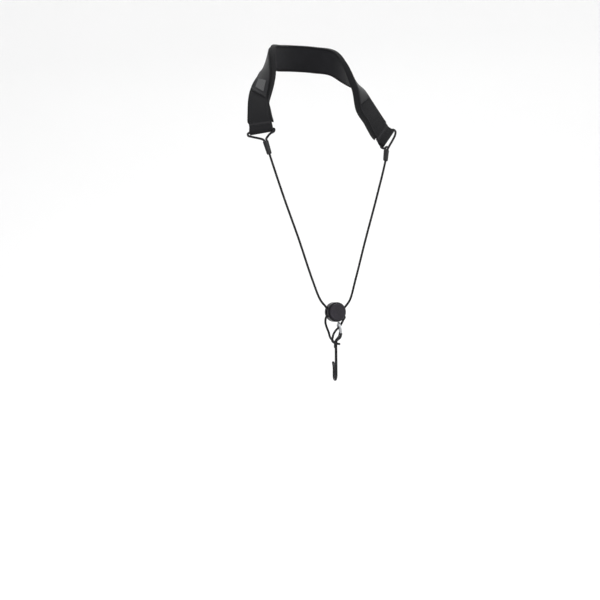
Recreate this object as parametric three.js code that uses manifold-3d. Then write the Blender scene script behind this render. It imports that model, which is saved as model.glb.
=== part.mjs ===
// Padded neck strap with a cord loop, a push-button barrel lock and an open wire hook.
// Millimetres, +Z up, the front of the strap towards -Y, origin at the middle of the wearer's neck.
import * as THREE from 'three';
import Module from 'manifold-3d';

const wasm = await Module();
wasm.setup();
const V = (x, y, z) => new THREE.Vector3(x, y, z);

// ---- driving dimensions ----
const GAP = 0.3; // clearance between neighbouring pieces
const WEBBING = { width: 30, thick: 1.6 };
const TUNNEL = { bore: 2.1, at: 3.7 }; // folded tunnel at each end of the webbing: radius, distance of its centre from the fold
const FOLD_BACK = 15.5; // how far the folded ply runs back
const STRAIGHT = 9; // flat, untwisted part of each end
const PAD = { from: 16.5, foam: 4.5, lining: 0.9, width: 30 };
const BINDING = 1.7; // thickness of the edge binding
const PANEL = { bend: 6, width: 27, thick: 0.8 }; // smooth panel on the outside, over the nape
const CORD_R = 1.4;
const SLEEVE = { wall: 0.5, wide: 7.4, deep: 4.3 };
const LOCK = { x: 0, y: -62, z: -265, outer: 12.4, bore: 10.9, front: -5, rear: 7, floor: 1.4 };
const BUTTON = { r: 10.6, front: -7.8, rear: 2.6, travel: 2.5, pocket: 4.3 };
const SPRING = { r: 3.3, wire: 0.4, turns: 5 };
const LANE = 10; // each cord's distance from the middle of the lock
const HOOK = { x: 0.6, y: -62, z: -302.5, turn: THREE.MathUtils.degToRad(-24) };
const WIRE_R = 1.1, COAT_IN = 1.3, COAT_R = 1.75;

// Stations along the band, left end to right end: upper edge, then lower edge.
const STATIONS = [
  [V(-76.3, -38, -36.2), V(-97, -20, -43.1)],
  [V(-75, -31, -27), V(-95.5, -12, -29.3)],
  [V(-74.3, -24, -16.8), V(-91.8, -2, -13.1)],
  [V(-71, -13.5, -4.5), V(-86.7, 9, 4.5)],
  [V(-67.8, -3, 7.2), V(-78.4, 21, 20)],
  [V(-60.5, 5, 32), V(-66.2, 30, 35.2)],
  [V(-47, 36, 73), V(-46.5, 48, 51)],
  [V(-25, 53.5, 79), V(-26, 62, 51.5)],
  [V(0, 61, 81), V(0, 68, 52)],
  [V(25, 53.5, 79), V(26, 62, 51.5)],
  [V(47, 36, 72), V(50, 48, 48)],
  [V(60.5, 3, 25), V(77.3, 22, 25.4)],
  [V(64.2, -2, -5.7), V(85.9, 12, 9.7)],
  [V(69.5, -10, -19.4), V(90.9, 4, -2.8)],
  [V(74.8, -17, -36.4), V(95.3, -5, -14.9)],
  [V(78.3, -23, -47), V(98.8, -13, -25.2)],
  [V(80.7, -27, -56.1), V(99.7, -19, -32.4)],
];

const root = new THREE.Group();
root.name = 'neck_strap';
function add(geometry, name) {
  const mesh = new THREE.Mesh(geometry, new THREE.MeshStandardMaterial());
  mesh.name = name;
  root.add(mesh);
}

// ---- the band's surface ----
const curve = (points) => new THREE.CatmullRomCurve3(points, false, 'centripetal');
const upper = curve(STATIONS.map((s) => s[0]));
const lower = curve(STATIONS.map((s) => s[1]));
const middle = new THREE.CatmullRomCurve3(STATIONS.map((s) => s[0].clone().lerp(s[1], 0.5)), false, 'centripetal');
middle.arcLengthDivisions = 600;
const LENGTH = middle.getLength();

// s along the band from the left end, t outwards from the webbing's middle, w across towards the upper edge.
function band(s, t, w) {
  const on = THREE.MathUtils.clamp(s, STRAIGHT, LENGTH - STRAIGHT);
  const k = middle.getUtoTmapping(0, on);
  const a = upper.getPoint(k), b = lower.getPoint(k);
  const across = a.clone().sub(b).normalize();
  const outward = across.clone().cross(middle.getTangent(k)).normalize();
  return a.add(b).multiplyScalar(0.5).addScaledVector(across, w).addScaledVector(outward, t).addScaledVector(outward.clone().cross(across), s - on);
}

// A strip that follows a path of [s, t] points, between two distances across the band.
function strip(path, thick, w0, w1, across = 3) {
  const n = path.length - 1, m = across + 1;
  const points = [], faces = [];
  for (let i = 0; i <= n; i++) {
    const a = path[Math.max(i - 1, 0)], b = path[Math.min(i + 1, n)];
    const l = Math.hypot(b[0] - a[0], b[1] - a[1]);
    for (const off of [thick / 2, -thick / 2]) {
      const s = path[i][0] - ((b[1] - a[1]) / l) * off;
      const t = path[i][1] + ((b[0] - a[0]) / l) * off;
      for (let j = 0; j < m; j++) points.push(...band(s, t, w0 + ((w1 - w0) * j) / across).toArray());
    }
  }
  // Both faces are split along the same diagonal, so that neighbouring layers stay parallel.
  const at = (i, face, j) => (i * 2 + face) * m + j;
  const quad = (a, b, c, d) => faces.push(a, c, b, a, d, c);
  for (let i = 0; i < n; i++) {
    for (let j = 0; j < across; j++) {
      quad(at(i, 0, j), at(i + 1, 0, j), at(i + 1, 0, j + 1), at(i, 0, j + 1));
      faces.push(at(i, 1, j), at(i + 1, 1, j), at(i + 1, 1, j + 1), at(i, 1, j), at(i + 1, 1, j + 1), at(i, 1, j + 1));
    }
    quad(at(i, 1, 0), at(i + 1, 1, 0), at(i + 1, 0, 0), at(i, 0, 0));
    quad(at(i, 0, across), at(i + 1, 0, across), at(i + 1, 1, across), at(i, 1, across));
  }
  for (let j = 0; j < across; j++) {
    quad(at(0, 1, j), at(0, 0, j), at(0, 0, j + 1), at(0, 1, j + 1));
    quad(at(n, 0, j), at(n, 1, j), at(n, 1, j + 1), at(n, 0, j + 1));
  }
  const g = new THREE.BufferGeometry();
  g.setAttribute('position', new THREE.Float32BufferAttribute(points, 3));
  g.setIndex(faces);
  return g;
}
// All layers bend at the same stations, so that they nest.
const BENDS = 44;
const bend = (i) => PAD.from + ((LENGTH - 2 * PAD.from) * i) / BENDS;
function run(t, from = 0, to = BENDS) {
  return Array.from({ length: to - from + 1 }, (_, i) => [bend(from + i), t]);
}

// ---- webbing, folded back at both ends into a tunnel for the cord ----
const half = WEBBING.thick / 2;
const tunnelT = -half - TUNNEL.bore;
const foldR = TUNNEL.bore + half;
const fold = [[FOLD_BACK, -WEBBING.thick - GAP], [9.4, -WEBBING.thick - GAP], [7, -3.9]];
for (let i = 0; i <= 7; i++) {
  const angle = THREE.MathUtils.degToRad(286 - i * 28);
  fold.push([TUNNEL.at + foldR * Math.cos(angle), tunnelT + foldR * Math.sin(angle)]);
}
const mirrored = fold.map(([s, t]) => [LENGTH - s, t]).reverse();
add(strip([...fold, [7, 0], [12, 0], ...run(0), [LENGTH - 12, 0], [LENGTH - 7, 0], ...mirrored], WEBBING.thick, -WEBBING.width / 2, WEBBING.width / 2), 'neck_webbing');

// ---- pad under the webbing ----
const foamT = -half - GAP - PAD.foam / 2;
const liningT = -half - 2 * GAP - PAD.foam - PAD.lining / 2;
add(strip(run(foamT), PAD.foam, -PAD.width / 2, PAD.width / 2), 'pad_foam');
add(strip(run(liningT), PAD.lining, -PAD.width / 2, PAD.width / 2), 'pad_lining');
const edge = PAD.width / 2 + 2.2 * GAP;
const bindingThick = half + GAP + PAD.foam + GAP + PAD.lining;
const bindingT = -bindingThick / 2;
add(strip(run(bindingT), bindingThick, edge, edge + BINDING, 1), 'upper_binding');
add(strip(run(bindingT), bindingThick, -edge - BINDING, -edge, 1), 'lower_binding');

// ---- trim on the outside ----
const panelT = half + GAP + PANEL.thick / 2;
add(strip(run(panelT, PANEL.bend, BENDS - PANEL.bend), PANEL.thick, -PANEL.width / 2, PANEL.width / 2), 'nape_panel');
const tackT = half + GAP + 0.3;
add(strip([[13, tackT], [15, tackT]], 0.6, -13, 13), 'left_bar_tack');
add(strip([[LENGTH - 15, tackT], [LENGTH - 13, tackT]], 0.6, -13, 13), 'right_bar_tack');
const tagT = half + 2 * GAP + PANEL.thick + 0.3;
add(strip(run(tagT, 7, 9), 0.6, -8, 8), 'side_tag');

// ---- cords ----
function circle(r, sides = 8) {
  return Array.from({ length: sides }, (_, i) => new THREE.Vector2(r * Math.cos((2 * Math.PI * i) / sides), r * Math.sin((2 * Math.PI * i) / sides)));
}
function tube(points, r, steps, hole = 0) {
  const shape = new THREE.Shape(circle(r));
  if (hole) shape.holes.push(new THREE.Path(circle(hole).reverse()));
  return new THREE.ExtrudeGeometry(shape, { steps, bevelEnabled: false, extrudePath: curve(points) });
}

const SIDES = {
  left: { s: TUNNEL.at, top: V(-83.3, -34, -51.8), bottom: V(-80, -39, -68.2), sign: -1 },
  right: { s: LENGTH - TUNNEL.at, top: V(85.1, -34, -57.7), bottom: V(81.2, -39, -71.8), sign: 1 },
};
for (const [side, { s, top, bottom, sign }] of Object.entries(SIDES)) {
  const along = bottom.clone().sub(top);
  const length = along.length();
  along.normalize();
  // The two legs of the triangle lie side by side in the sleeve, in the plane of the tunnel.
  const tunnel = (w) => band(s, tunnelT, w);
  const outwards = tunnel(15).sub(tunnel(-15)).normalize();
  const apart = outwards.addScaledVector(along, -outwards.dot(along)).normalize().multiplyScalar(CORD_R + 0.2);
  const inSleeve = (d, k) => top.clone().addScaledVector(along, d).addScaledVector(apart, k);
  const beyond = tunnel(0).sub(band(s - sign, tunnelT, 0)); // past the end of the band
  const corner = (w, out) => tunnel(w).addScaledVector(beyond, out);
  add(tube([
    inSleeve(7, 1), inSleeve(0, 1), inSleeve(-2.2, 1.2), corner(12.5, 6.9), corner(17, 4.6), corner(17.6, 1.2), tunnel(15), tunnel(5),
    tunnel(-5), tunnel(-15), corner(-17.6, 1.2), corner(-17, 4.6), corner(-12.5, 6.9), inSleeve(-2.2, -1.2), inSleeve(0, -1), inSleeve(7, -1),
  ], CORD_R, 34), `${side}_tunnel_cord`);

  // Flattened sleeve round both legs.
  const around = new THREE.Matrix4().makeBasis(apart.clone().normalize(), along.clone().cross(apart).normalize(), along);
  const soft = (c) => Math.sign(c) * Math.abs(c) ** 0.7;
  const oval = (wide, deep) => circle(1, 16).map((p) => new THREE.Vector2((soft(p.x) * wide) / 2, (soft(p.y) * deep) / 2));
  const skin = new THREE.Shape(oval(SLEEVE.wide, SLEEVE.deep));
  skin.holes.push(new THREE.Path(oval(SLEEVE.wide - 2 * SLEEVE.wall, SLEEVE.deep - 2 * SLEEVE.wall).reverse()));
  const sleeve = new THREE.ExtrudeGeometry(skin, { depth: length, bevelEnabled: false, steps: 1 });
  sleeve.applyMatrix4(around.setPosition(top));
  add(sleeve, `${side}_sleeve`);

  add(tube([
    inSleeve(8, 0), inSleeve(length, 0), V(sign * 64, -47, -122), V(sign * 46.5, -52.5, -173), V(sign * 30, -57.4, -224),
    V(sign * 20.3, -61, -250), V(sign * 13.6, -62, -258.3), V(sign * 10.8, -62, -262), V(sign * LANE, -62, LOCK.z + 0.6),
  ], CORD_R, 20), `${side}_strand`);
}

// ---- barrel lock: housing, push button and spring ----
function solid(geometry) {
  const g = geometry.index ? geometry.toNonIndexed() : geometry;
  const p = g.attributes.position;
  const key = new Map(), verts = [], tris = [];
  for (let i = 0; i < p.count; i++) {
    const at = [p.getX(i), p.getY(i), p.getZ(i)].map((c) => Math.round(c * 1e4) / 1e4);
    const k = at.join();
    if (!key.has(k)) { key.set(k, verts.length / 3); verts.push(...at); }
    tris.push(key.get(k));
  }
  const mesh = new wasm.Mesh({ numProp: 3, vertProperties: new Float32Array(verts), triVerts: new Uint32Array(tris) });
  return new wasm.Manifold(mesh);
}
function geometryOf(body) {
  const m = body.getMesh();
  const g = new THREE.BufferGeometry();
  g.setAttribute('position', new THREE.BufferAttribute(new Float32Array(m.vertProperties), 3));
  g.setIndex(new THREE.BufferAttribute(new Uint32Array(m.triVerts), 1));
  return g;
}
// Turned about the lock's own axis: [radius, distance along -Y] points.
const turned = (points, sides) => wasm.Manifold.revolve([points], sides).rotate([90, 0, 0]);
const inLock = (body) => geometryOf(body.translate([LOCK.x, LOCK.y, LOCK.z]));
const block = (x0, x1, y0, y1, z0, z1) => wasm.Manifold.cube([x1 - x0, y1 - y0, z1 - z0]).translate([x0, y0, z0]);

const floorY = LOCK.rear - LOCK.floor;
let housing = turned([
  [0, -LOCK.rear], [LOCK.outer - 1.2, -LOCK.rear], [LOCK.outer, -LOCK.rear + 1.2], [LOCK.outer, -LOCK.front - 0.6],
  [LOCK.outer - 0.6, -LOCK.front], [LOCK.bore, -LOCK.front], [LOCK.bore, -floorY], [0, -floorY],
], 40);
for (const x of [-13.5, LANE - 2.3]) housing = housing.subtract(block(x, x + 15.8 - LANE, -2.1, 2.1, -6.6, 6.6));
add(inLock(housing), 'lock_housing');

let button = turned([
  [0, -BUTTON.rear + 5], [BUTTON.pocket, -BUTTON.rear + 5], [BUTTON.pocket, -BUTTON.rear], [BUTTON.r, -BUTTON.rear],
  [BUTTON.r, -BUTTON.front - 0.8], [BUTTON.r - 0.8, -BUTTON.front], [0, -BUTTON.front],
], 36);
const grip = CORD_R + GAP;
for (const x of [-11.5, LANE - CORD_R - 0.35]) button = button.subtract(block(x, x + 13.25 - LANE, -grip - BUTTON.travel, grip, -11, 11));
add(inLock(button), 'lock_button');

class Coil extends THREE.Curve {
  getPoint(k) {
    const a = 2 * Math.PI * SPRING.turns * k;
    const y0 = BUTTON.rear - 5 + GAP + SPRING.wire, y1 = floorY - GAP - SPRING.wire;
    return V(LOCK.x + SPRING.r * Math.cos(a), LOCK.y + y0 + (y1 - y0) * k, LOCK.z + SPRING.r * Math.sin(a));
  }
}
add(new THREE.ExtrudeGeometry(new THREE.Shape(circle(SPRING.wire, 5)), { steps: 50, bevelEnabled: false, extrudePath: new Coil() }), 'lock_spring');

// ---- hook: bent wire with an eye, dipped coat on all but the top of the eye ----
// Hook coordinates: u to the side, d to the rear, z up from the throat; the whole hook hangs turned about the vertical.
const inHook = ([u, d, z]) => V(u, d, z).applyAxisAngle(V(0, 0, 1), HOOK.turn).add(V(HOOK.x, HOOK.y, HOOK.z));
const jHook = [
  [-3.6, 11.2, -24.6], [-2.8, 9.2, -28.5], [-2.35, 8.1, -33], [-2.3, 8, -38], [-2.3, 8, -43], [-1.9, 6.8, -46], [-1, 4, -47.2], [-0.3, 1.2, -46], [0.2, 0, -43], [0.3, 0, -36],
  [0.2, 0, -24], [0.1, 0, -12], [0, 0, -5],
];
const nearSide = [[0, 0, -1], [0.8, -0.3, 1.9], [2.8, -1.1, 3.8], [4.9, -2.4, 5.6], [6, -3.6, 9]];
const eyeTop = [
  [6.2, -4.2, 12], [6, -4.4, 15], [5.4, -4.5, 17.6], [4.9, -4.1, 20.2], [4.2, -2.7, 22.8], [3.5, 0, 23.9], [2.7, 2.7, 22.6],
  [2.3, 4.1, 20.2], [3.4, 4.5, 17.6], [4.8, 4.4, 15],
];
const farSide = [[5.2, 4.3, 12], [5, 4.2, 9.4], [4, 4.1, 6.6], [2, 3.9, 4], [0.4, 3.8, 2], [-0.6, 3.6, -1], [-0.9, 3.6, -4.5], [-0.9, 3.6, -8]];
const wirePath = [...jHook, ...nearSide, ...eyeTop, ...farSide].map(inHook);
add(tube(wirePath, WIRE_R, 84), 'hook_wire');
const wire = curve(wirePath);
wire.arcLengthDivisions = 800;
// The coats lie on the same line as the wire, between two of its points.
function coat(from, to, steps) {
  const t = (i) => i / (wirePath.length - 1);
  const points = Array.from({ length: steps * 2 + 1 }, (_, i) => wire.getPoint(t(from) + ((t(to) - t(from)) * i) / (steps * 2)));
  return tube(points, COAT_R, steps, COAT_IN);
}
const topStart = jHook.length + nearSide.length;
add(coat(0.15, topStart, 52), 'hook_coat');
add(coat(topStart + eyeTop.length - 0.3, wirePath.length - 1.15, 20), 'eye_end_coat');

// ---- cord below the lock: down one side, once round the throat, through the eye and up the other side ----
const low = LOCK.z - 0.6;
add(tube([
  V(-LANE, -62, low), V(-10.6, -62, low - 3.2), V(-13, -62, low - 6), V(-13.8, -62, low - 9.5), V(-13.8, -62, low - 13),
  V(-12.4, -62.5, -284), V(-9.6, -62.5, -290.5),
  ...[[-7.2, -1.8, 5.6], [-4.6, -3, 2.4], [-2.6, -3.6, -0.2], [0.4, -3.8, -1.8], [3.5, -1.2, -2.4], [4.2, 2.4, -2.6], [2.4, 6.2, -2.4], [-1.2, 7.2, -1.4],
    [-4.2, 5.6, 0.6], [-4.6, 2.9, 3], [-4, 1.6, 5.6], [-3.4, 0.9, 8.8], [-1.6, 0.3, 12.4], [0.8, 0.1, 15.6], [4, 0.1, 18.6]].map(inHook),
  V(8.2, -61.6, -279.8), V(11, -61.9, low - 9), V(12.7, -62, low - 6), V(10.8, -62, low - 3), V(LANE, -62, low),
], CORD_R, 44), 'loop_cord');

export default root;
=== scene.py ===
"""Padded neck strap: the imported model's frame, dressed as webbing, padding, cord, lock and hook."""
import bisect
import math

import bmesh
import bpy
from mathutils import Matrix, Vector


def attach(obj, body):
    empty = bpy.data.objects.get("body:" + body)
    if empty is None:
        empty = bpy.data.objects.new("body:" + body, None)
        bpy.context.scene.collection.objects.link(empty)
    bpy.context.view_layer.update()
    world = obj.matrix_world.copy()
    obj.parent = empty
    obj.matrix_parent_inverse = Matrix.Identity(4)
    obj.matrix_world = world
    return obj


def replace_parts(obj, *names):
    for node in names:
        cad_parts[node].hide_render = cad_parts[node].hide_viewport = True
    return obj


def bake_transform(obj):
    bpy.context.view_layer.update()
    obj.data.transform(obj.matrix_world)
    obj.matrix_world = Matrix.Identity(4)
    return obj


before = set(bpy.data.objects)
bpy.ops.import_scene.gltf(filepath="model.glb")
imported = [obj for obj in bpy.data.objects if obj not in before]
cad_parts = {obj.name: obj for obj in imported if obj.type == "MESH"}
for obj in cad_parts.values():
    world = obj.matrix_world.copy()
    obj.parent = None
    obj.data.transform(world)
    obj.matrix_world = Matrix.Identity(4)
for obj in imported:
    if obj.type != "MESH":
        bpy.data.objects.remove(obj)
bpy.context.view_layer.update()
MM = 0.001

# ---- camera: the photograph's angle, level, from the wearer's right ----
VIEW_AZIMUTH = math.radians(-24)
CAMERA_FAR, CAMERA_ASIDE, CAMERA_Z = 2.5, -0.0192, -0.250
aside = Vector((math.cos(VIEW_AZIMUTH), math.sin(VIEW_AZIMUTH), 0))
ahead = Vector((-math.sin(VIEW_AZIMUTH), math.cos(VIEW_AZIMUTH), 0))
camera = bpy.data.objects.new("camera", bpy.data.cameras.new("camera"))
camera.data.sensor_width = 36
camera.data.lens = 117.2
camera.location = aside * CAMERA_ASIDE - ahead * CAMERA_FAR + Vector((0, 0, CAMERA_Z))
camera.rotation_euler = (math.pi / 2, 0, VIEW_AZIMUTH)
bpy.context.collection.objects.link(camera)
bpy.context.scene.camera = camera

# ---- sizes shared with the CAD part, in millimetres ----
STATIONS = [  # along the band, left end to right end: upper edge, lower edge
    ((-76.3, -38, -36.2), (-97, -20, -43.1)),
    ((-75, -31, -27), (-95.5, -12, -29.3)),
    ((-74.3, -24, -16.8), (-91.8, -2, -13.1)),
    ((-71, -13.5, -4.5), (-86.7, 9, 4.5)),
    ((-67.8, -3, 7.2), (-78.4, 21, 20)),
    ((-60.5, 5, 32), (-66.2, 30, 35.2)),
    ((-47, 36, 73), (-46.5, 48, 51)),
    ((-25, 53.5, 79), (-26, 62, 51.5)),
    ((0, 61, 81), (0, 68, 52)),
    ((25, 53.5, 79), (26, 62, 51.5)),
    ((47, 36, 72), (50, 48, 48)),
    ((60.5, 3, 25), (77.3, 22, 25.4)),
    ((64.2, -2, -5.7), (85.9, 12, 9.7)),
    ((69.5, -10, -19.4), (90.9, 4, -2.8)),
    ((74.8, -17, -36.4), (95.3, -5, -14.9)),
    ((78.3, -23, -47), (98.8, -13, -25.2)),
    ((80.7, -27, -56.1), (99.7, -19, -32.4)),
]
STRAIGHT = 9
WEBBING_WIDE, WEBBING_THICK = 30, 1.6
TUNNEL_BORE, TUNNEL_AT = 2.1, 3.7
FOLD_BACK = 15.5
PAD_FROM = 16.5
CORD_R = 1.4
SLEEVE_WIDE, SLEEVE_DEEP = 7.4, 4.3
LOCK = Vector((0, -62, -265))
LANE = 10
HOOK, HOOK_TURN = Vector((0.6, -62, -302.5)), math.radians(-24)
COAT_R, WIRE_R = 1.75, 1.1


# ---- curves ----
class Curve:
    """A centripetal Catmull-Rom curve through points, at(k) with k from 0 to 1 in equal shares per point."""

    def __init__(self, points):
        self.p = [Vector(p) for p in points]

    def at(self, k):
        p, n = self.p, len(self.p) - 1
        i = min(int(k * n), n - 1)
        w = k * n - i
        p1, p2 = p[i], p[i + 1]
        p0 = p[i - 1] if i else 2 * p[0] - p[1]
        p3 = p[i + 2] if i + 2 <= n else 2 * p[n] - p[n - 1]
        d0, d1, d2 = ((a - b).length ** 0.5 or 1 for a, b in ((p0, p1), (p1, p2), (p2, p3)))
        m1 = ((p1 - p0) / d0 - (p2 - p0) / (d0 + d1) + (p2 - p1) / d1) * d1
        m2 = ((p2 - p1) / d1 - (p3 - p1) / (d1 + d2) + (p3 - p2) / d2) * d1
        return (p1 + m1 * w + (3 * (p2 - p1) - 2 * m1 - m2) * w**2
                + (2 * (p1 - p2) + m1 + m2) * w**3)

    def spread(self, count):
        """count points, evenly spaced along the curve."""
        fine = [self.at(i / 800) for i in range(801)]
        run = [0.0]
        for a, b in zip(fine, fine[1:]):
            run.append(run[-1] + (b - a).length)
        found = []
        for j in range(count):
            want = run[-1] * j / (count - 1)
            i = min(bisect.bisect_left(run, want), 800)
            if i == 0:
                found.append(fine[0])
                continue
            share = (want - run[i - 1]) / (run[i] - run[i - 1])
            found.append(fine[i - 1].lerp(fine[i], share))
        return found


upper = Curve([s[0] for s in STATIONS])
lower = Curve([s[1] for s in STATIONS])
middle = Curve([(Vector(a) + Vector(b)) / 2 for a, b in STATIONS])
FINE = 3000
_runs = [0.0]
for _i in range(FINE):
    _runs.append(_runs[-1] + (middle.at((_i + 1) / FINE) - middle.at(_i / FINE)).length)
LENGTH = _runs[-1]
_frames = {}


def band_frame(s):
    """(middle, across, outward, along) of the band, s millimetres from its left end."""
    key = round(s, 4)
    if key not in _frames:
        on = min(max(s, STRAIGHT), LENGTH - STRAIGHT)
        i = min(max(bisect.bisect_left(_runs, on), 1), FINE)
        k = (i - 1 + (on - _runs[i - 1]) / (_runs[i] - _runs[i - 1])) / FINE
        a, b = upper.at(k), lower.at(k)
        across = (a - b).normalized()
        tangent = middle.at(min(k + 1e-3, 1)) - middle.at(max(k - 1e-3, 0))
        outward = across.cross(tangent).normalized()
        along = outward.cross(across)
        _frames[key] = ((a + b) / 2 + along * (s - on), across, outward, along)
    return _frames[key]


def band(s, t, w):
    mid, across, outward, _ = band_frame(s)
    return mid + across * w + outward * t


# ---- meshes ----
def mesh_object(name, bm):
    bmesh.ops.recalc_face_normals(bm, faces=bm.faces)
    mesh = bpy.data.meshes.new(name)
    bm.to_mesh(mesh)
    bm.free()
    for polygon in mesh.polygons:
        polygon.use_smooth = True
    obj = bpy.data.objects.new(name, mesh)
    bpy.context.collection.objects.link(obj)
    return obj


def loft(name, rings, lengths, widths):
    """A closed skin over rings of points in millimetres; its map, strap, holds millimetres along and across."""
    bm = bmesh.new()
    layer = bm.loops.layers.uv.new("strap")
    verts = [[bm.verts.new(p * MM) for p in ring] for ring in rings]
    m = len(rings[0])
    for i in range(len(rings) - 1):
        for j in range(m):
            q = (j + 1) % m
            face = bm.faces.new((verts[i][j], verts[i + 1][j], verts[i + 1][q], verts[i][q]))
            u = (lengths[i], lengths[i + 1], lengths[i + 1], lengths[i])
            v = (widths[j], widths[j], widths[j + 1], widths[j + 1])
            for loop, uu, vv in zip(face.loops, u, v):
                loop[layer].uv = (uu, vv)
    for ring, at in ((verts[0], lengths[0]), (verts[-1], lengths[-1])):
        face = bm.faces.new(ring)
        for loop, j in zip(face.loops, range(m)):
            loop[layer].uv = (at, widths[j])
    return mesh_object(name, bm)


def running(points):
    run = [0.0]
    for a, b in zip(points, points[1:]):
        run.append(run[-1] + (b - a).length)
    return run


def tube(name, points, radius, sides=14, blunt=True):
    """A round tube along points; radius may be a function of the share of its length.

    Its map holds millimetres along and turns round.
    """
    run = running(points)
    tangents = [(points[min(i + 1, len(points) - 1)] - points[max(i - 1, 0)]).normalized() for i in range(len(points))]
    side = tangents[0].orthogonal().normalized()
    rings = []
    for i, (p, t) in enumerate(zip(points, tangents)):
        side = (side - t * side.dot(t)).normalized()
        other = t.cross(side)
        r = radius(run[i] / run[-1]) if callable(radius) else radius
        if blunt:
            near = min(run[i], run[-1] - run[i])
            r *= 1 if near > r * 0.5 else 0.72 + 0.28 * near / (r * 0.5)
        angles = [2 * math.pi * j / sides for j in range(sides)]
        rings.append([p + (side * math.cos(a) + other * math.sin(a)) * r for a in angles])
    return loft(name, rings, run, [j / sides for j in range(sides + 1)])


def rounded(w0, w1, t0, t1, r, crown=0.0, across=10):
    """A rounded section [(w, t)], its t0 side bulging by crown."""
    def turn(w, t, first):
        angles = [math.radians(first + a) for a in (0, 30, 60, 90)]
        return [(w + r * math.cos(a), t + r * math.sin(a)) for a in angles]

    low = [(w0 + r + (w1 - w0 - 2 * r) * k / across, t0 - crown * math.sin(math.pi * k / across) ** 0.8)
           for k in range(1, across)]
    return (turn(w1 - r, t1 - r, 0) + turn(w0 + r, t1 - r, 90) + turn(w0 + r, t0 + r, 180) + low
            + turn(w1 - r, t0 + r, 270))


def perimeter(section):
    return running([Vector((w, t, 0)) for w, t in section + section[:1]])


def along_band(name, s_values, section_at):
    """A skin over sections [(w, t)] at each s."""
    rings = [[band(s, t, w) for w, t in section_at(s)] for s in s_values]
    return loft(name, rings, list(s_values), perimeter(section_at((s_values[0] + s_values[-1]) / 2)))


def steps(a, b, count):
    return [a + (b - a) * i / count for i in range(count + 1)]


# ---- materials ----
class Nodes:
    """A material with a Principled shader, and short ways to wire it."""

    def __init__(self, name, **sockets):
        self.material = bpy.data.materials.new(name)
        self.material.use_nodes = True
        self.tree = self.material.node_tree
        self.shader = self.tree.nodes["Principled BSDF"]
        for socket, value in sockets.items():
            self.shader.inputs[socket.replace("_", " ")].default_value = value

    def node(self, kind, inputs=None, **settings):
        made = self.tree.nodes.new(kind)
        for key, value in settings.items():
            setattr(made, key, value)
        for socket, value in (inputs or {}).items():
            if isinstance(value, bpy.types.NodeSocket):
                self.tree.links.new(value, made.inputs[socket])
            else:
                made.inputs[socket].default_value = value
        return made

    def math(self, operation, *values):
        made = self.node("ShaderNodeMath", dict(enumerate(values)), operation=operation)
        return made.outputs[0]

    def map(self):
        """The along and across millimetres of the strap map."""
        parts = self.node("ShaderNodeSeparateXYZ", {0: self.node("ShaderNodeUVMap", uv_map="strap").outputs[0]})
        return parts.outputs[0], parts.outputs[1]

    def place(self):
        return self.node("ShaderNodeTexCoord").outputs["Object"]

    def noise(self, scale, detail=4.0, vector=None):
        made = self.node("ShaderNodeTexNoise", {"Vector": vector or self.place(), "Scale": scale, "Detail": detail})
        return made.outputs["Fac"]

    def ramp(self, value, low, high):
        made = self.node("ShaderNodeMapRange", {"Value": value, "To Min": low, "To Max": high})
        return made.outputs["Result"]

    def colour(self, fac, dark, light):
        mix = self.tree.nodes.new("ShaderNodeMix")
        mix.data_type = "RGBA"
        self.tree.links.new(fac, mix.inputs[0])
        mix.inputs[6].default_value = (*dark, 1)
        mix.inputs[7].default_value = (*light, 1)
        self.tree.links.new(mix.outputs[2], self.shader.inputs["Base Color"])

    def bump(self, height, distance):
        made = self.node("ShaderNodeBump", {"Height": height, "Distance": distance, "Strength": 1.0})
        self.tree.links.new(made.outputs[0], self.shader.inputs["Normal"])

    def rough(self, value, low, high):
        self.tree.links.new(self.ramp(value, low, high), self.shader.inputs["Roughness"])


TURN = 2 * math.pi


def woven(name, dark, light, pitch_along, pitch_across, depth, sheen=0.04):
    """Woven webbing or tape: offset floats, with loose variation from yarn to yarn."""
    m = Nodes(name, Sheen_Weight=sheen, Sheen_Roughness=0.5, Specular_IOR_Level=0.22)
    u, v = m.map()
    row = m.math("SINE", m.math("MULTIPLY", v, TURN / pitch_across))
    offset = m.math("MULTIPLY", m.math("SIGN", row), math.pi / 2)
    shifted = m.math("ADD", m.math("MULTIPLY", u, TURN / pitch_along), offset)
    float_height = m.math("ADD", m.math("MULTIPLY", m.math("SINE", shifted), 0.5), 0.5)
    weave = m.math("MULTIPLY", m.math("ABSOLUTE", row), float_height)
    fuzz = m.noise(900.0)
    height = m.math("ADD", weave, m.math("MULTIPLY", fuzz, 0.35))
    m.colour(m.math("MULTIPLY", height, 0.75), dark, light)
    m.rough(fuzz, 0.72, 0.92)
    m.bump(height, depth)
    return m.material


def braided(name, dark, light):
    """Braided cord: two sets of strands that cross on the diagonal, eight round it."""
    m = Nodes(name, Sheen_Weight=0.03, Sheen_Roughness=0.45, Specular_IOR_Level=0.25)
    u, v = m.map()
    turn, length = m.math("MULTIPLY", v, 4 * TURN), m.math("MULTIPLY", u, TURN / 2.4)
    one = m.math("SINE", m.math("ADD", turn, length))
    two = m.math("SINE", m.math("SUBTRACT", turn, length))
    height = m.math("ADD", m.math("MULTIPLY", m.math("MULTIPLY", one, two), 0.5), 0.5)
    fuzz = m.noise(1500.0)
    total = m.math("ADD", height, m.math("MULTIPLY", fuzz, 0.25))
    m.colour(m.math("MULTIPLY", total, 0.8), dark, light)
    m.rough(fuzz, 0.6, 0.8)
    m.bump(total, 0.00022)
    return m.material


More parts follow.
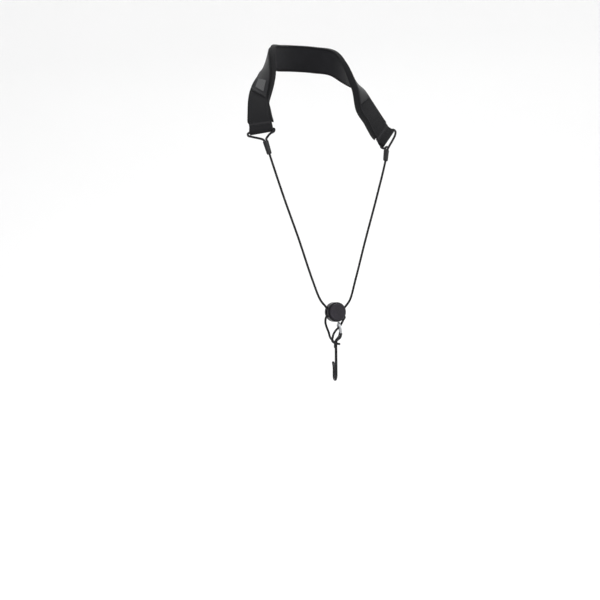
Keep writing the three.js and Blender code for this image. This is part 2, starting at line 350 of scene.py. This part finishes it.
def knitted(name, dark, light):
    """Soft knitted lining over foam: small loops and slow, shallow undulation."""
    m = Nodes(name, Sheen_Weight=0.05, Sheen_Roughness=0.6, Specular_IOR_Level=0.15)
    u, v = m.map()
    courses = m.math("SINE", m.math("MULTIPLY", u, TURN / 1.1))
    wales = m.math("SINE", m.math("MULTIPLY", v, TURN / 0.9))
    loops = m.math("MULTIPLY", courses, wales)
    slow = m.noise(60.0, 2.0)
    height = m.math("ADD", m.math("MULTIPLY", loops, 0.35), m.math("MULTIPLY", slow, 1.2))
    m.colour(m.math("ADD", m.math("MULTIPLY", loops, 0.25), slow), dark, light)
    m.rough(slow, 0.8, 0.95)
    m.bump(height, 0.00025)
    return m.material


def leathery(name, dark, light, rough=(0.34, 0.5)):
    """Smooth synthetic leather: fine pebbled grain and faint creases."""
    m = Nodes(name, Specular_IOR_Level=0.28, Coat_Weight=0.04, Coat_Roughness=0.35)
    cells = m.node("ShaderNodeTexVoronoi", {"Vector": m.place(), "Scale": 1100.0}).outputs["Distance"]
    slow = m.noise(90.0, 5.0)
    m.colour(slow, dark, light)
    m.rough(slow, *rough)
    m.bump(m.math("ADD", m.math("MULTIPLY", cells, 0.5), slow), 0.00012)
    return m.material


def moulded(name, dark, light, rough, grain=0.00006, scale=700.0):
    """Moulded plastic or dipped coat: fine spark texture, slight handling polish."""
    m = Nodes(name, Specular_IOR_Level=0.3)
    fine, slow = m.noise(scale, 6.0), m.noise(80.0, 3.0)
    m.colour(slow, dark, light)
    m.rough(slow, *rough)
    m.bump(fine, grain)
    return m.material


def metal(name, colour, rough):
    m = Nodes(name, Metallic=1.0)
    slow = m.noise(260.0, 6.0)
    m.colour(slow, [c * 0.82 for c in colour], colour)
    m.rough(slow, *rough)
    m.bump(m.noise(2400.0, 3.0), 0.00001)
    return m.material


WEBBING = woven("webbing", (0.0015, 0.0015, 0.0022), (0.009, 0.009, 0.011), 2.2, 1.5, 0.00028)
TAPE = woven("tape", (0.0015, 0.0015, 0.002), (0.008, 0.008, 0.010), 1.1, 0.9, 0.00014)
TAG = woven("tag", (0.05, 0.05, 0.052), (0.12, 0.12, 0.122), 0.9, 0.7, 0.00008)
LINING = knitted("lining", (0.002, 0.002, 0.003), (0.010, 0.010, 0.012))
PANEL = leathery("panel", (0.004, 0.004, 0.005), (0.010, 0.010, 0.012))
CORD = braided("cord", (0.0015, 0.0015, 0.002), (0.010, 0.010, 0.013))
THREAD = moulded("thread", (0.005, 0.005, 0.006), (0.016, 0.016, 0.018), (0.5, 0.7))
SHRINK = moulded("shrink_tube", (0.002, 0.002, 0.003), (0.007, 0.007, 0.008), (0.38, 0.55))
HOUSING = moulded("housing", (0.003, 0.003, 0.0045), (0.008, 0.0075, 0.011), (0.34, 0.5), 0.00004)
FACE = moulded("button_face", (0.003, 0.0028, 0.0045), (0.022, 0.018, 0.026), (0.42, 0.62), 0.0003, 420.0)
COAT = moulded("dipped_coat", (0.0015, 0.0015, 0.0025), (0.005, 0.005, 0.008), (0.16, 0.3), 0.00002, 300.0)
NICKEL = metal("nickel", (0.45, 0.46, 0.48), (0.26, 0.36))
STEEL = metal("spring_steel", (0.6, 0.6, 0.62), (0.25, 0.4))


def dress(obj, material):
    obj.data.materials.clear()
    obj.data.materials.append(material)
    return obj


# ---- cords ----
SIDES = {
    "left": (TUNNEL_AT, Vector((-83.3, -34, -51.8)), Vector((-80, -39, -68.2)), -1),
    "right": (LENGTH - TUNNEL_AT, Vector((85.1, -34, -57.7)), Vector((81.2, -39, -71.8)), 1),
}
TUNNEL_T = -WEBBING_THICK / 2 - TUNNEL_BORE


def add_cord(name, control, count, start):
    """A cord of CORD_R along control points."""
    line = Curve(control).spread(count)
    obj = dress(tube(name, line, CORD_R, 16), CORD)
    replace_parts(obj, name)
    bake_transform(obj)
    thin = Curve(control).spread(40)
    return obj


for side, (s_end, top, bottom, sign) in SIDES.items():
    down = (bottom - top).normalized()
    across = (band(s_end, TUNNEL_T, 15) - band(s_end, TUNNEL_T, -15)).normalized()
    apart = (across - down * across.dot(down)).normalized()
    beyond = band(s_end, TUNNEL_T, 0) - band(s_end - sign, TUNNEL_T, 0)

    def in_sleeve(d, k, top=top, down=down, apart=apart):
        return top + down * d + apart * (CORD_R + 0.2) * k

    def corner(w, out, s_end=s_end, beyond=beyond):
        return band(s_end, TUNNEL_T, w) + beyond * out

    triangle = [
        in_sleeve(7, 1), in_sleeve(0, 1), in_sleeve(-2.2, 1.2), corner(12.5, 6.9), corner(17, 4.6), corner(17.6, 1.2),
        corner(15, 0), corner(5, 0), corner(-5, 0), corner(-15, 0),
        corner(-17.6, 1.2), corner(-17, 4.6), corner(-12.5, 6.9), in_sleeve(-2.2, -1.2), in_sleeve(0, -1), in_sleeve(7, -1),
    ]
    add_cord(f"{side}_tunnel_cord", triangle, 150, corner(0, 3))
    near_lock = Vector((sign * 20.3, -61, -250))
    strand = [
        in_sleeve(8, 0), bottom,
        Vector((sign * 64, -47, -122)), Vector((sign * 46.5, -52.5, -173)), Vector((sign * 30, -57.4, -224)),
        near_lock, Vector((sign * 13.6, -62, -258.3)), Vector((sign * 10.8, -62, -262)),
        Vector((sign * LANE, -62, LOCK.z + 0.6)),
    ]
    add_cord(f"{side}_strand", strand, 320, bottom + down * 4)

    # Shrunk sleeve: drawn in over the two legs, with soft lips and faint rings.
    rings, places = [], []
    long = (bottom - top).length
    third = down.cross(apart)
    for i in range(33):
        k = i / 32
        lip = 1 - 0.14 * (max(0, 1 - k * 14) ** 2 + max(0, k * 14 - 13) ** 2)
        wide = SLEEVE_WIDE / 2 * lip * (1 - 0.16 * k) * (1 + 0.012 * math.sin(k * 40))
        deep = SLEEVE_DEEP / 2 * lip * (1 + 0.012 * math.sin(k * 40 + 1))
        rings.append([])
        for j in range(24):
            c, s = math.cos(TURN * j / 24), math.sin(TURN * j / 24)
            c, s = math.copysign(abs(c) ** 0.75, c), math.copysign(abs(s) ** 0.75, s)
            rings[-1].append(top + down * long * k + apart * wide * c + third * deep * s)
        places.append(long * k)
    sleeve = dress(loft(f"{side}_shrink_sleeve", rings, places, [j / 24 for j in range(25)]), SHRINK)
    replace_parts(sleeve, f"{side}_sleeve")
    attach(sleeve, "pendant")


def in_hook(u, d, z):
    return Matrix.Rotation(HOOK_TURN, 3, "Z") @ Vector((u, d, z)) + HOOK


LOW = LOCK.z - 0.6
DOWN_ONE_SIDE = [
    (-LANE, -62, LOW), (-10.6, -62, LOW - 3.2), (-13, -62, LOW - 6), (-13.8, -62, LOW - 9.5), (-13.8, -62, LOW - 13),
    (-12.4, -62.5, -284), (-9.6, -62.5, -290.5),
]
ROUND_THE_THROAT = [  # hook coordinates, on through the eye
    (-7.2, -1.8, 5.6), (-4.6, -3, 2.4), (-2.6, -3.6, -0.2), (0.4, -3.8, -1.8), (3.5, -1.2, -2.4), (4.2, 2.4, -2.6),
    (2.4, 6.2, -2.4), (-1.2, 7.2, -1.4), (-4.2, 5.6, 0.6), (-4.6, 2.9, 3), (-4, 1.6, 5.6), (-3.4, 0.9, 8.8),
    (-1.6, 0.3, 12.4), (0.8, 0.1, 15.6), (4, 0.1, 18.6),
]
UP_THE_OTHER = [
    (8.2, -61.6, -279.8), (11, -61.9, LOW - 9), (12.7, -62, LOW - 6), (10.8, -62, LOW - 3), (LANE, -62, LOW),
]
loop = ([Vector(p) for p in DOWN_ONE_SIDE] + [in_hook(*p) for p in ROUND_THE_THROAT]
        + [Vector(p) for p in UP_THE_OTHER])
add_cord("loop_cord", loop, 220, Vector((0, -62, -275)))

# ---- webbing: one length, folded back at both ends ----
half = WEBBING_THICK / 2
fold_r = TUNNEL_BORE + half
fold = [(FOLD_BACK, -WEBBING_THICK - 0.3), (12.4, -WEBBING_THICK - 0.3), (9.4, -WEBBING_THICK - 0.35), (8, -3.0), (7, -3.9)]
for i in range(15):
    angle = math.radians(286 - i * 14)
    fold.append((TUNNEL_AT + fold_r * math.cos(angle), TUNNEL_T + fold_r * math.sin(angle)))
flat = [(s, 0) for s in steps(7, LENGTH - 7, 200)]
path = fold + flat + [(LENGTH - s, t) for s, t in reversed(fold)]
rings, places = [], []
for i, (s, t) in enumerate(path):
    (s0, t0), (s1, t1) = path[max(i - 1, 0)], path[min(i + 1, len(path) - 1)]
    size = math.hypot(s1 - s0, t1 - t0)
    ns, nt = -(t1 - t0) / size, (s1 - s0) / size
    section = rounded(-WEBBING_WIDE / 2, WEBBING_WIDE / 2, -half, half, 0.55, across=14)
    rings.append([band(s + ns * off, t + nt * off, w) for w, off in section])
    places.append(places[-1] + math.hypot(s - path[i - 1][0], t - path[i - 1][1]) if i else 0)
webbing = dress(loft("webbing", rings, places, perimeter(section)), WEBBING)
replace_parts(webbing, "neck_webbing")
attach(webbing, "neckband")

# ---- pad: foam under a knitted lining, full in the middle and drawn in at the seams ----
PAD_HALF, PAD_TOP, PAD_THICK = 15.6, -1.1, 5.2


def pad_section(s):
    near = min(s - PAD_FROM, LENGTH - PAD_FROM - s)
    full = 1 - 0.42 * math.exp(-((near / 5) ** 2))
    pucker = 0.18 * math.sin(s * TURN / 7.5) * math.exp(-near / 60)
    thick = PAD_THICK * full
    return rounded(-PAD_HALF, PAD_HALF, PAD_TOP - thick, PAD_TOP, thick * 0.42, crown=(1.1 + pucker) * full, across=16)


pad = dress(along_band("pad", steps(PAD_FROM, LENGTH - PAD_FROM, 180), pad_section), LINING)
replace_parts(pad, "pad_foam", "pad_lining")
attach(pad, "neckband")


def binding_section(side):
    def section(s):
        near = min(s - PAD_FROM, LENGTH - PAD_FROM - s)
        deep = 6.6 * (1 - 0.25 * math.exp(-((near / 4) ** 2)))
        a, b = (15.3, 17.1) if side > 0 else (-17.1, -15.3)
        ripple = 0.1 * math.sin(s * TURN / 3.6)
        if side > 0:
            b += ripple
        else:
            a -= ripple
        return rounded(a, b, -deep, 0.1, 0.8, across=4)
    return section


for name, sign in (("upper_binding", 1), ("lower_binding", -1)):
    binding = along_band(f"{name}_tape", steps(PAD_FROM, LENGTH - PAD_FROM, 240), binding_section(sign))
    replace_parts(dress(binding, TAPE), name)
    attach(binding, "neckband")

# ---- smooth panel and plain tag on the outside ----
BENDS, PANEL_BEND = 44, 6


def bend_at(i):
    return PAD_FROM + (LENGTH - 2 * PAD_FROM) * i / BENDS


panel_from, panel_to = bend_at(PANEL_BEND), bend_at(BENDS - PANEL_BEND)


def panel_section(s):
    low = half + 0.25
    return rounded(-13.5, 13.5, low, low + 0.85, 0.38, across=12)


panel = dress(along_band("panel", steps(panel_from, panel_to, 150), panel_section), PANEL)
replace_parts(panel, "nape_panel")
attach(panel, "neckband")
tag_from, tag_to = bend_at(PANEL_BEND + 1), bend_at(PANEL_BEND + 3)
tag = along_band("tag", steps(tag_from, tag_to, 12), lambda s: rounded(-8, 8, half + 1.15, half + 1.5, 0.17, across=8))
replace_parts(dress(tag, TAG), "side_tag")
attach(tag, "neckband")


# ---- stitches ----
def stitches(name, rows, size=(1.25, 0.32, 0.22)):
    """Single thread floats, each a small pointed bead. rows: [(s0, w0, s1, w1, t, pitch)]."""
    bm = bmesh.new()
    for s0, w0, s1, w1, t, pitch in rows:
        count = max(2, round(math.hypot(s1 - s0, w1 - w0) / pitch))
        for i in range(count):
            k = (i + 0.5) / count
            s, w = s0 + (s1 - s0) * k, w0 + (w1 - w0) * k
            _, across, outward, along = band_frame(s)
            way = (along * (s1 - s0) + across * (w1 - w0)).normalized()
            flank = outward.cross(way)
            at = band(s, t, w)
            made = bmesh.ops.create_uvsphere(bm, u_segments=8, v_segments=5, radius=1)["verts"]
            for v in made:
                x, y, z = v.co
                v.co = (at + way * z * size[0] + flank * x * size[1] + outward * y * size[2]) * MM
    obj = dress(mesh_object(name, bm), THREAD)
    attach(obj, "neckband")
    return obj


top_t = half + 0.12
stitches("edge_stitches", [(PAD_FROM, w, panel_from, w, top_t, 3.4) for w in (-12.6, 12.6)]
         + [(panel_to, w, LENGTH - PAD_FROM, w, top_t, 3.4) for w in (-12.6, 12.6)]
         + [(panel_from + 1.5, w, panel_to - 1.5, w, half + 1.15, 3.4) for w in (-12.2, 12.2)]
         + [(s, -12.2, s, 12.2, half + 1.15, 3.2) for s in (panel_from + 1.5, panel_to - 1.5)])
for side, (s_a, s_b) in {"left": (9.6, 14.4), "right": (LENGTH - 14.4, LENGTH - 9.6)}.items():
    rows = [(s, -13, s, 13, top_t, 2.6) for s in (s_a, s_b)] + [(s_a, w, s_b, w, top_t, 2.4) for w in (-13, 13)]
    stitches(f"{side}_box_stitch", rows)
    s_mid = (s_a + s_b) / 2
    bars = [(s_mid - 0.9, w, s_mid + 0.9, w, half + 0.2, 9) for w in (x * 0.75 - 12.75 for x in range(35))]
    tack = stitches(f"{side}_tack_bars", bars, (1.1, 0.42, 0.3))
    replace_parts(tack, f"{side}_bar_tack")


# ---- barrel lock ----
def turned(name, profile, segments=96):
    """A body of revolution about the lock's axis: [(radius, y)] from the axis back to the axis, in millimetres."""
    bm = bmesh.new()
    angles = [TURN * j / segments for j in range(segments)]
    rings = [[bm.verts.new((LOCK + Vector((r * math.cos(a), y, r * math.sin(a)))) * MM) for a in angles]
             for r, y in profile]
    for a, b in zip(rings, rings[1:]):
        for j in range(segments):
            bm.faces.new((a[j], b[j], b[(j + 1) % segments], a[(j + 1) % segments]))
    bm.faces.new(rings[0])
    bm.faces.new(rings[-1])
    return mesh_object(name, bm)


def cut(obj, boxes):
    """Rounded slots cut through obj: [(x0, x1, y0, y1, z0, z1)] from the lock's middle."""
    for x0, x1, y0, y1, z0, z1 in boxes:
        bm = bmesh.new()
        bmesh.ops.create_cube(bm, size=1)
        centre = LOCK + Vector((x0 + x1, y0 + y1, z0 + z1)) / 2
        size = Vector((x1 - x0, y1 - y0, z1 - z0))
        for v in bm.verts:
            v.co = (centre + v.co * size) * MM
        bmesh.ops.bevel(bm, geom=bm.edges[:], offset=0.6 * MM, segments=3, affect="EDGES")
        cutter = mesh_object("cutter", bm)
        mod = obj.modifiers.new("slot", "BOOLEAN")
        mod.object, mod.operation, mod.solver = cutter, "DIFFERENCE", "EXACT"
        bake_modifiers(obj)
        bpy.data.objects.remove(cutter)


def bake_modifiers(obj):
    graph = bpy.context.evaluated_depsgraph_get()
    mesh = bpy.data.meshes.new_from_object(obj.evaluated_get(graph))
    obj.modifiers.clear()
    obj.data = mesh


def soften(obj, degrees=35):
    """Smooth faces with sharp edges kept."""
    obj.data.shade_smooth()
    obj.data.set_sharp_from_angle(angle=math.radians(degrees))


OUTER, BORE = 12.4, 10.9
housing = turned("housing", [
    (0.01, 7), (9, 7), (9.4, 6.7), (10.6, 6.7), (11.7, 6.5), (12.15, 6.0), (OUTER, 5.2), (OUTER, 2.6),
    (12.2, 2.4), (12.2, 2.1), (OUTER, 1.9), (OUTER, -3.9), (12.3, -4.5), (12.0, -4.9), (11.6, -5), (11.1, -4.8),
    (BORE, -4.4), (BORE, 5.6), (0.01, 5.6),
])
cut(housing, [(x, x + 5.8, -2.1, 2.1, -6.6, 6.6) for x in (-13.5, 7.7)])
soften(dress(housing, HOUSING))
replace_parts(housing, "lock_housing")
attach(housing, "lock")

button = turned("push_button", [
    (0.01, -2.4), (4.3, -2.4), (4.3, 2.6), (10.4, 2.6), (10.6, 2.4), (10.6, -6.6), (10.4, -7.2), (9.95, -7.65),
    (9.4, -7.8), (8.9, -7.7), (8.6, -7.35), (8.2, -7.25), (7.8, -7.3), (4.5, -7.45), (2.2, -7.55), (0.01, -7.55),
])
grip = CORD_R + 0.3
cut(button, [(x, x + 3.25, -grip - 2.5, grip, -11, 11) for x in (-11.5, 8.25)])
soften(dress(button, FACE))
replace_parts(button, "lock_button")
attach(button, "button")
# Raised grip dots on the button's face.
dots = bmesh.new()
for ring, count in ((0, 1), (2.3, 6), (4.6, 12)):
    for j in range(count):
        a = TURN * (j + 0.5 * (ring > 3)) / count
        made = bmesh.ops.create_uvsphere(dots, u_segments=12, v_segments=8, radius=1)["verts"]
        at = LOCK + Vector((ring * math.cos(a), -7.42, ring * math.sin(a)))
        for v in made:
            v.co = (at + v.co * Vector((0.62, 0.36, 0.62))) * MM
grips = dress(mesh_object("button_dots", dots), FACE)
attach(grips, "button")
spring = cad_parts["lock_spring"]
spring.data.materials.clear()
spring.data.materials.append(STEEL)

# ---- hook ----
HOOK_LINE = [
    # the open hook, from its free tip
    (-3.6, 11.2, -24.6), (-2.8, 9.2, -28.5), (-2.35, 8.1, -33), (-2.3, 8, -38), (-2.3, 8, -43), (-1.9, 6.8, -46),
    (-1, 4, -47.2), (-0.3, 1.2, -46), (0.2, 0, -43), (0.3, 0, -36), (0.2, 0, -24), (0.1, 0, -12), (0, 0, -5),
    # the near side of the eye
    (0, 0, -1), (0.8, -0.3, 1.9), (2.8, -1.1, 3.8), (4.9, -2.4, 5.6), (6, -3.6, 9),
    # its bare top
    (6.2, -4.2, 12), (6, -4.4, 15), (5.4, -4.5, 17.6), (4.9, -4.1, 20.2), (4.2, -2.7, 22.8), (3.5, 0, 23.9),
    (2.7, 2.7, 22.6), (2.3, 4.1, 20.2), (3.4, 4.5, 17.6), (4.8, 4.4, 15),
    # its far side
    (5.2, 4.3, 12), (5, 4.2, 9.4), (4, 4.1, 6.6), (2, 3.9, 4), (0.4, 3.8, 2), (-0.6, 3.6, -1), (-0.9, 3.6, -4.5),
    (-0.9, 3.6, -8),
]
COAT_TO, COAT_AGAIN = 18, 27.7  # where the coat stops and starts again, counted in points of the line
hook_curve = Curve([in_hook(*p) for p in HOOK_LINE])
last = len(HOOK_LINE) - 1


def hook_part(a, b, count):
    return [hook_curve.at((a + (b - a) * i / count) / last) for i in range(count + 1)]


def domed(points, radius):
    """Radius by share of length, rounded off at the ends."""
    total = running(points)[-1]

    def at(k):
        r = radius
        for near in (k * total, (1 - k) * total):
            if near < radius:
                r = min(r, math.sqrt(max(radius**2 - (radius - near) ** 2, 0.02)))
        return r
    return at


bare = hook_part(COAT_TO - 0.6, COAT_AGAIN + 0.5, 90)
wire = dress(tube("bent_wire", bare, WIRE_R + 0.25, 20, blunt=False), NICKEL)
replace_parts(wire, "hook_wire")
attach(wire, "hook")
for name, node, a, b in (("coated_hook", "hook_coat", 0, COAT_TO), ("coated_eye_end", "eye_end_coat", COAT_AGAIN, last)):
    line = Curve(hook_part(a, b, 200)).spread(260)
    # Closer rings at the ends carry their domes.
    ends = Curve([line[0], line[1], line[2]]).spread(10)[:-1]
    tail = Curve([line[-3], line[-2], line[-1]]).spread(10)[1:]
    line = ends + line[2:-2] + tail
    coat = dress(tube(name, line, domed(line, COAT_R), 20, blunt=False), COAT)
    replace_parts(coat, node)
    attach(coat, "hook")

# ---- plain pale floor that curves up behind ----
FLOOR_Z, BACK_Y, SWEEP_R, WIDE = -0.62, 1.6, 0.9, 5.0
FRONT_Y, TOP_Z = -3.5, 4.0
sweep = [math.pi / 2 * i / 16 for i in range(17)]
profile = ([(FRONT_Y, FLOOR_Z)]
           + [(BACK_Y + SWEEP_R * math.sin(a), FLOOR_Z + SWEEP_R * (1 - math.cos(a))) for a in sweep]
           + [(BACK_Y + SWEEP_R, TOP_Z)])
bm = bmesh.new()
rows = [[bm.verts.new(aside * x + ahead * y + Vector((0, 0, z))) for x in (-WIDE, WIDE)] for y, z in profile]
for a, b in zip(rows, rows[1:]):
    bm.faces.new((a[0], a[1], b[1], b[0]))
floor = mesh_object("floor", bm)
paper = Nodes("paper", Roughness=0.9)
paper.colour(paper.noise(3.0), (0.86, 0.86, 0.86), (0.88, 0.88, 0.88))
floor.data.materials.append(paper.material)

# ---- soft studio light ----
world = bpy.data.worlds.new("studio")
bpy.context.scene.world = world
world.use_nodes = True
world.node_tree.nodes["Background"].inputs[0].default_value = (1, 1, 1, 1)
world.node_tree.nodes["Background"].inputs[1].default_value = 0.75


def light(name, place, size, power):
    lamp = bpy.data.lights.new(name, "AREA")
    lamp.size, lamp.energy = size, power
    obj = bpy.data.objects.new(name, lamp)
    obj.location = place
    obj.rotation_euler = (Vector((0, 0, -0.15)) - Vector(place)).to_track_quat("-Z", "Y").to_euler()
    bpy.context.collection.objects.link(obj)


light("key", (-1.6, -1.8, 1.5), 1.2, 42)
light("fill", (1.9, -1.5, 0.5), 1.4, 18)
light("back", (0.4, 1.2, 1.4), 1.2, 22)
bpy.context.scene.view_settings.view_transform = "Standard"
